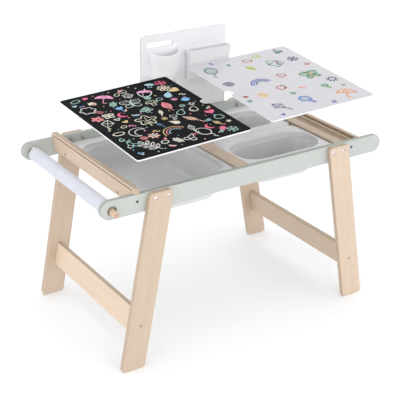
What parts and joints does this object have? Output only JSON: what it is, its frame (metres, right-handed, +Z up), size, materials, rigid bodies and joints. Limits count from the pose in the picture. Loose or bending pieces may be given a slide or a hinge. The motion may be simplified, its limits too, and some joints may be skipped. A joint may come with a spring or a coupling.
{
  "type": "kids play table with storage",
  "caption": "Low plywood play table with splayed legs, hanging storage bins, lift-off blackboard and whiteboard lids, a paper roll, a grooved tray and a rear organiser.",
  "frame": {"origin": "on the floor under the middle of the table", "axes": "+X along the rails towards the tray board, +Y towards the organiser at the back, +Z up"},
  "size_m": [0.9098, 0.5272, 0.745],
  "materials": {
    "sage_paint": "satin sage-green paint on plywood",
    "birch_ply": "clear matt lacquer on birch plywood",
    "round_wood": "bare turned beech",
    "bin_plastic": "smooth white moulded plastic",
    "white_moulding": "matt white moulded plastic",
    "white_board": "white-edged fibreboard",
    "blackboard": "matt black writing laminate",
    "whiteboard": "glossy white writing laminate",
    "card_tube": "wound grey-brown card",
    "drawing_paper": "smooth white drawing paper",
    "zinc_steel": "zinc-plated steel"
  },
  "bodies": {
    "frame": {"front_rail": "sage_paint", "rear_rail": "sage_paint", "front_left_leg": "birch_ply", "front_right_leg": "birch_ply", "rear_left_leg": "birch_ply", "rear_right_leg": "birch_ply", "left_stretcher": "birch_ply", "right_stretcher": "birch_ply", "left_cross_board": "birch_ply", "left_ledge": "birch_ply", "middle_bar": "birch_ply", "tray_board": "birch_ply", "organiser_panel": "white_moulding", "organiser_cup": "white_moulding", "organiser_box": "white_moulding", "leg_bolts": "zinc_steel", "leg_nuts": "zinc_steel", "stretcher_screws": "zinc_steel", "cross_screws": "zinc_steel", "cross_dowels": "round_wood", "ledge_screws": "zinc_steel", "organiser_screws": "zinc_steel", "pocket_rivets": "zinc_steel"},
    "left_bin": {"left_bin": "bin_plastic"},
    "near_right_bin": {"near_right_bin": "bin_plastic"},
    "far_right_bin": {"far_right_bin": "bin_plastic"},
    "chalk_lid": {"chalk_lid_board": "white_board", "chalk_lid_face": "blackboard"},
    "white_lid": {"white_lid_board": "white_board", "white_lid_face": "whiteboard"},
    "dowel": {"roll_dowel": "round_wood"},
    "roll": {"roll_core": "card_tube", "paper_roll": "drawing_paper"}
  },
  "joints": [
    {"name": "chalk_lid_lift", "type": "hinge", "parent": "frame", "child": "chalk_lid", "pos_m": [-1.424, -1.371, 0.014], "axis": [0.7499, -0.6559, -0.086], "range_deg": [-3.96, 0]},
    {"name": "white_lid_lift", "type": "hinge", "parent": "frame", "child": "white_lid", "pos_m": [-0.919, -1.525, 0.498], "axis": [0.7408, -0.5329, -0.4089], "range_deg": [-5.23, 0]},
    {"name": "left_bin_lift", "type": "slide", "parent": "frame", "child": "left_bin", "axis": [0, 0, 1], "range_m": [0, 0.11]},
    {"name": "near_right_bin_lift", "type": "slide", "parent": "frame", "child": "near_right_bin", "axis": [0, 0, 1], "range_m": [0, 0.11]},
    {"name": "far_right_bin_lift", "type": "slide", "parent": "frame", "child": "far_right_bin", "axis": [0, 0, 1], "range_m": [0, 0.11]},
    {"name": "dowel_draw", "type": "slide", "parent": "frame", "child": "dowel", "axis": [0, -1, 0], "range_m": [0, 0.5]},
    {"name": "paper_roll_turn", "type": "hinge", "parent": "frame", "child": "roll", "pos_m": [-0.4235, 0, 0.4693], "axis": [0, 1, 0], "continuous": true}
  ]
}
